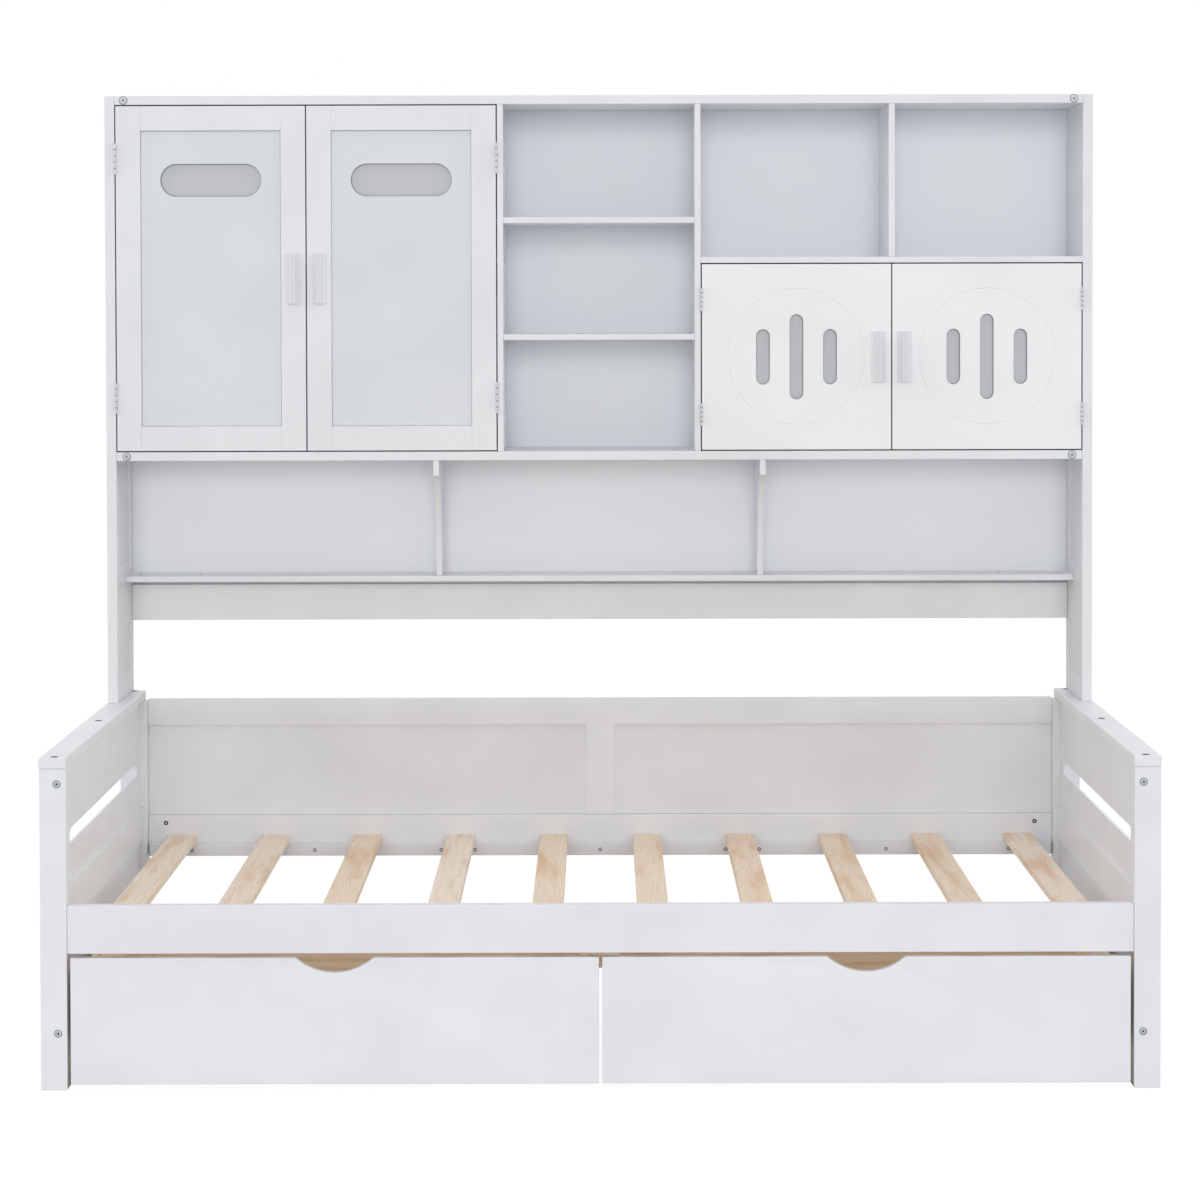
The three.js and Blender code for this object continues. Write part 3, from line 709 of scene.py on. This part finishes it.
def makeSlatBase():
    low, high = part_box("slat_base")
    slatBottom = high.z - slats["thickMm"] * mm
    ledgerBottom = slatBottom - ledgers["highMm"] * mm
    play = slats["endPlayMm"] * mm
    for index in range(slats["count"]):
        x0 = (slats["firstMm"] + index * slats["pitchMm"]) * mm
        x1 = x0 + slats["widthMm"] * mm
        shape = bmesh.new()
        addBoard(shape, (x0, low.y + play, slatBottom), (x1, high.y - play, high.z))
        softenEdges(shape, slats["edgeMm"])
        finishPiece(
            shape, f"slat{index + 1:02d}", slatBirch, "root", ["slat_base"])
    deep = ledgers["deepMm"] * mm
    for name, y0, y1 in (
            ("frontLedger", low.y, low.y + deep), ("backLedger", high.y - deep, high.y)):
        shape = bmesh.new()
        addBoard(shape, (low.x, y0, ledgerBottom), (high.x, y1, slatBottom))
        softenEdges(shape, ledgers["edgeMm"])
        finishPiece(shape, name, paintAlong["X"], "root", ["slat_base"])
    half = stopBlock["widthMm"] * mm / 2
    y1 = low.y + stopBlock["deepMm"] * mm
    shape = bmesh.new()
    addBoard(shape, (-half, low.y, low.z), (half, y1, ledgerBottom))
    softenEdges(shape, stopBlock["edgeMm"])
    finishPiece(shape, "drawerStopBlock", slatBirch, "root", ["slat_base"])


makeSlatBase()
print("slats and ledgers ready")

# Butt hinges: five knuckles on a pin, odd ones on the fixed leaf and even ones on the door's leaf
hinge = {
    "knuckles": 5, "gapMm": 1.1, "radiusMm": 3.3, "easeMm": 0.7, "steps": 20, "pinMm": 2.4,
    "axisMm": 3.0, "leafMm": 0.9, "leafGapMm": 0.1,
}


def addKnuckle(shape, axis, radius, z0, z1):
    length = (z1 - z0) / mm
    ease = hinge["easeMm"]
    knuckle = turnedShape([
        (0, 0), (radius - ease, 0), (radius, ease),
        (radius, length - ease), (radius - ease, length), (0, length)], hinge["steps"])
    addCopies(shape, knuckle, [Vector((axis.x, axis.y, z0))])


def makeHinge(door, end, hand):
    node = f"{door}_{end}_hinge"
    low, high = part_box(node)
    axis = Vector(((low.x + high.x) / 2, low.y + hinge["axisMm"] * mm, 0))
    step = (high.z - low.z) / hinge["knuckles"]
    gap = hinge["gapMm"] * mm / 2
    leaves = {"fixed": bmesh.new(), "moving": bmesh.new()}
    for index in range(hinge["knuckles"]):
        side = "moving" if index % 2 else "fixed"
        z0 = low.z + index * step
        addKnuckle(leaves[side], axis, hinge["radiusMm"], z0 + gap, z0 + step - gap)
    near = hinge["leafGapMm"] * mm / 2
    far = near + hinge["leafMm"] * mm
    for side, turn in (("fixed", -hand), ("moving", hand)):
        x0, x1 = sorted((axis.x + turn * near, axis.x + turn * far))
        addBoard(leaves[side], (x0, axis.y, low.z), (x1, high.y, high.z))
    # The dark pin shows in the gaps between the knuckles as painted shade
    pin = bmesh.new()
    addKnuckle(pin, axis, hinge["pinMm"], low.z + gap, high.z - gap)
    name = pieceName(node)
    finishPiece(leaves["fixed"], name, nickel, "root", [node])
    finishPiece(pin, name + "Pin", darkSteelAndShade, "root")
    finishPiece(leaves["moving"], name + "DoorLeaf", nickel, door + "_door")


for door, hand in (("tall_left", 1), ("tall_right", -1), ("short_left", 1), ("short_right", -1)):
    for end in ("upper", "lower"):
        makeHinge(door, end, hand)
print("hinges ready")

# Fixings, each turned about its own axis and set on the face that holds it: the corners give radius
# and height over that face in millimetres, from axis to axis
fixings = {
    "boltRing": [(0, -1.0), (6.9, -1.0), (7.1, 0.1), (6.6, 0.15), (0, 0.1)],
    "boltHead": [
        (0, -0.9), (6.0, -0.9), (6.1, 0.3), (5.5, 0.8), (2.9, 0.9), (2.6, 0.3), (0, 0.3)],
    "boltSocket": [(0, -0.8), (1.8, -0.8), (1.8, 0.4), (0, 0.45)],
    "nutRing": [(0, -1.0), (4.5, -1.0), (4.7, 0.2), (4.2, 0.4), (3.4, 0.12), (0, 0.1)],
    "nutHead": [(0, -0.9), (2.1, -0.9), (2.1, 0.3), (1.6, 0.6), (0, 0.7)],
    "capBolt": [
        (0, -1.0), (6.8, -1.0), (7.1, 0.2), (6.4, 0.5), (3.0, 0.5), (2.6, 0.1), (0, 0.1)],
    "camRim": [(0, -1.0), (8.4, -1.0), (8.6, 0.1), (8.0, 0.2), (0, 0.15)],
    "camFitting": [(0, -0.9), (7.5, -0.9), (7.6, 0.5), (7.0, 0.8), (0, 0.9)],
    "shelfBolt": [(0, -1.0), (4.8, -1.0), (5.0, 0.4), (3.9, 1.2), (0, 1.5)],
    "screw": [(0, -0.8), (2.5, -0.8), (2.6, 0.1), (2.2, 0.35), (0.9, 0.12), (0, 0.1)],
    "screwSink": [(0, -1.0), (3.6, -1.0), (3.8, 0.05), (3.4, 0.08), (0, 0.06)],
}
fixingSteps = 24
camCross = {"longMm": 6.0, "wideMm": 1.0, "proudMm": 1.1}
towardFront, towardBack, upward = (0, -1, 0), (0, 1, 0), (0, 0, 1)


# Copies of one fixing on faces that look the ways given, as one piece
def makeFixings(name, kind, placesByFacing, material):
    shape = bmesh.new()
    for facing, places in placesByFacing:
        addCopies(shape, turnedShape(fixings[kind], fixingSteps), places, facing)
    finishPiece(shape, name, material, "root")


def makeCamCrosses(places, facing):
    long, wide, proud = (camCross[key] * mm for key in ("longMm", "wideMm", "proudMm"))
    cross = bmesh.new()
    for x, y in ((long, wide), (wide, long)):
        addBoard(cross, (-x / 2, -y / 2, 0), (x / 2, y / 2, proud))
    shape = bmesh.new()
    addCopies(shape, cross, places, facing)
    finishPiece(shape, "camCrosses", darkSteelAndShade, "root")


# Where the photograph shows them, in millimetres: x away from the middle on both sides, then z or y
fixingPlaces = {
    "postBolts": {"x": 978.5, "z": (103, 554.5)},
    "capBolts": {"x": 984, "y": (-516, 11, 516)},
    "railNuts": {"x": 918, "z": 323},
    "ledgerScrews": {"x": (0, 264, 335, 602, 861), "drop": 14},
    "camFittings": {"topX": 969, "floorX": 966},
    "shelfScrews": {"x": (340, 836, 962), "y": 470},
    "shelfBolts": {"y": 405},
}


# A place on the left and its mirror on the right, or one place where it lies in the middle
def bothSides(*placeMm):
    x, y, z = (number * mm for number in placeMm)
    sides = (-1, 1) if x else (1,)
    return [Vector((side * x, y, z)) for side in sides]


# The low and the high corner of a node in millimetres
def boxMm(node):
    return [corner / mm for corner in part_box(node)]


def makeBedFixings():
    spot = fixingPlaces["postBolts"]
    frontY, backY = boxMm("left_front_post")[0].y, boxMm("left_back_post")[1].y
    places = [
        (facing, [place for z in spot["z"] for place in bothSides(spot["x"], y, z)])
        for facing, y in ((towardFront, frontY), (towardBack, backY))]
    # The dark ring round each bolt head is painted shade for its counterbore
    makeFixings("postBoltRings", "boltRing", places, darkSteelAndShade)
    makeFixings("postBoltHeads", "boltHead", places, zinc)
    # The dark disc in each head is painted shade for its hex socket
    makeFixings("postBoltSockets", "boltSocket", places, darkSteelAndShade)

    spot = fixingPlaces["capBolts"]
    capTop = boxMm("left_end_cap")[1].z
    places = [place for y in spot["y"] for place in bothSides(spot["x"], y, capTop)]
    # Dark heads whose colour is partly painted shade for the holes they sit in
    makeFixings("capBolts", "capBolt", [(upward, places)], darkSteelAndShade)

    spot = fixingPlaces["railNuts"]
    railFront = boxMm("back_bottom_rail")[0].y
    places = [(towardFront, bothSides(spot["x"], railFront, spot["z"]))]
    # The dark ring round each nut is painted shade for its hole
    makeFixings("railNutRings", "nutRing", places, darkSteelAndShade)
    makeFixings("railNutHeads", "nutHead", places, zinc)

    spot = fixingPlaces["ledgerScrews"]
    high = boxMm("slat_base")[1]
    y = high.y - ledgers["deepMm"]
    z = high.z - slats["thickMm"] - spot["drop"]
    places = [place for x in spot["x"] for place in bothSides(x, y, z)]
    # The dark sinks round the screws are painted shade for their countersinks
    makeFixings("ledgerScrewSinks", "screwSink", [(towardFront, places)], darkSteelAndShade)
    makeFixings("ledgerScrews", "screw", [(towardFront, places)], zinc)


def makeHutchFixings():
    spot = fixingPlaces["camFittings"]
    places = []
    for node, x in (("hutch_top", spot["topX"]), ("cabinet_floor", spot["floorX"])):
        low, high = boxMm(node)
        places += bothSides(x, low.y, (low.z + high.z) / 2)
    # The dark rims round the cam fittings are painted shade for their recesses
    makeFixings("camRims", "camRim", [(towardFront, places)], darkSteelAndShade)
    makeFixings("camFittings", "camFitting", [(towardFront, places)], zinc)
    # The dark crosses are painted shade for the slots in the cam fittings
    makeCamCrosses(places, towardFront)

    spot = fixingPlaces["shelfScrews"]
    top = boxMm("lower_shelf")[1].z
    places = [place for x in spot["x"] for place in bothSides(x, spot["y"], top)]
    makeFixings("shelfScrews", "screw", [(upward, places)], darkSteelAndShade)

    # One on the inner face of each divider, at the height of the right shelf
    low, high = boxMm("right_shelf")
    dividerX = boxMm("right_divider")[0].x
    left, right = bothSides(dividerX, fixingPlaces["shelfBolts"]["y"], (low.z + high.z) / 2)
    places = [((1, 0, 0), [left]), ((-1, 0, 0), [right])]
    makeFixings("shelfBolts", "shelfBolt", places, zinc)


makeBedFixings()
makeHutchFixings()
print("fixings ready")

# Pale floor that the camera sees as near white, with the shadow kept
floorLook = {"colour": "E8E8E8", "whiteShare": 0.93, "white": 1.04, "sizeM": 60}


def makeFloor():
    material, tree = newMaterial("studioFloor")
    ray = addNode(tree, "LightPath", {}, {})
    share = addNode(tree, "Math", {"operation": "MULTIPLY"}, {
        0: ray.outputs["Is Camera Ray"], 1: floorLook["whiteShare"]})
    matt = addNode(tree, "BsdfDiffuse", {}, {"Color": linearColour(floorLook["colour"])})
    white = addNode(tree, "Emission", {}, {
        "Color": linearColour("FFFFFF"), "Strength": floorLook["white"]})
    mixed = addNode(tree, "MixShader", {}, {
        0: share.outputs[0], 1: matt.outputs["BSDF"], 2: white.outputs["Emission"]})
    addNode(tree, "OutputMaterial", {}, {"Surface": mixed.outputs["Shader"]})
    shape = bmesh.new()
    bmesh.ops.create_grid(shape, x_segments=1, y_segments=1, size=floorLook["sizeM"] / 2)
    mesh = bpy.data.meshes.new("floor")
    shape.to_mesh(mesh)
    shape.free()
    mesh.materials.append(material)
    floor = bpy.data.objects.new("floor", mesh)
    bpy.context.scene.collection.objects.link(floor)


makeFloor()

# Soft even studio light: a bright room all round, a broad far lamp behind the camera, one to each
# side that reaches the inner faces of the ends, and one overhead
light = {
    "room": 0.435,
    "seenRoom": 1.0,
    "lamps": [
        {"name": "frontLamp", "turn": 0, "rise": 8, "spread": 20, "strength": 0.87},
        {"name": "leftLamp", "turn": -80, "rise": 25, "spread": 40, "strength": 0.7},
        {"name": "rightLamp", "turn": 80, "rise": 25, "spread": 40, "strength": 0.78},
        {"name": "topLamp", "turn": 0, "rise": 90, "spread": 50, "strength": 0.4},
    ],
}


# The camera, gloss and clear parts see a white room, and the rest is lit by a dimmer one
def makeRoom():
    world = bpy.data.worlds.new("studio")
    world.use_nodes = True
    tree = world.node_tree
    tree.nodes.clear()
    ray = addNode(tree, "LightPath", {}, {})
    seen = ray.outputs["Is Camera Ray"]
    for kind in ("Is Glossy Ray", "Is Transmission Ray"):
        seen = addNode(tree, "Math", {"operation": "ADD", "use_clamp": True}, {
            0: seen, 1: ray.outputs[kind]}).outputs[0]
    room, white = (
        addNode(tree, "Background", {}, {
            "Color": linearColour("FFFFFF"), "Strength": light[key]}).outputs["Background"]
        for key in ("room", "seenRoom"))
    mixed = addNode(tree, "MixShader", {}, {0: seen, 1: room, 2: white})
    addNode(tree, "OutputWorld", {}, {"Surface": mixed.outputs["Shader"]})
    bpy.context.scene.world = world


def makeLamps():
    for lamp in light["lamps"]:
        data = bpy.data.lights.new(lamp["name"], "SUN")
        data.angle = math.radians(lamp["spread"])
        data.energy = lamp["strength"]
        item = bpy.data.objects.new(lamp["name"], data)
        item.rotation_euler = (math.radians(90 - lamp["rise"]), 0, math.radians(lamp["turn"]))
        item.visible_glossy = False  # gloss shows the white room alone, with no lamp in it
        bpy.context.scene.collection.objects.link(item)


makeRoom()
makeLamps()
bpy.context.scene.view_settings.view_transform = "Standard"
print("floor and light ready")
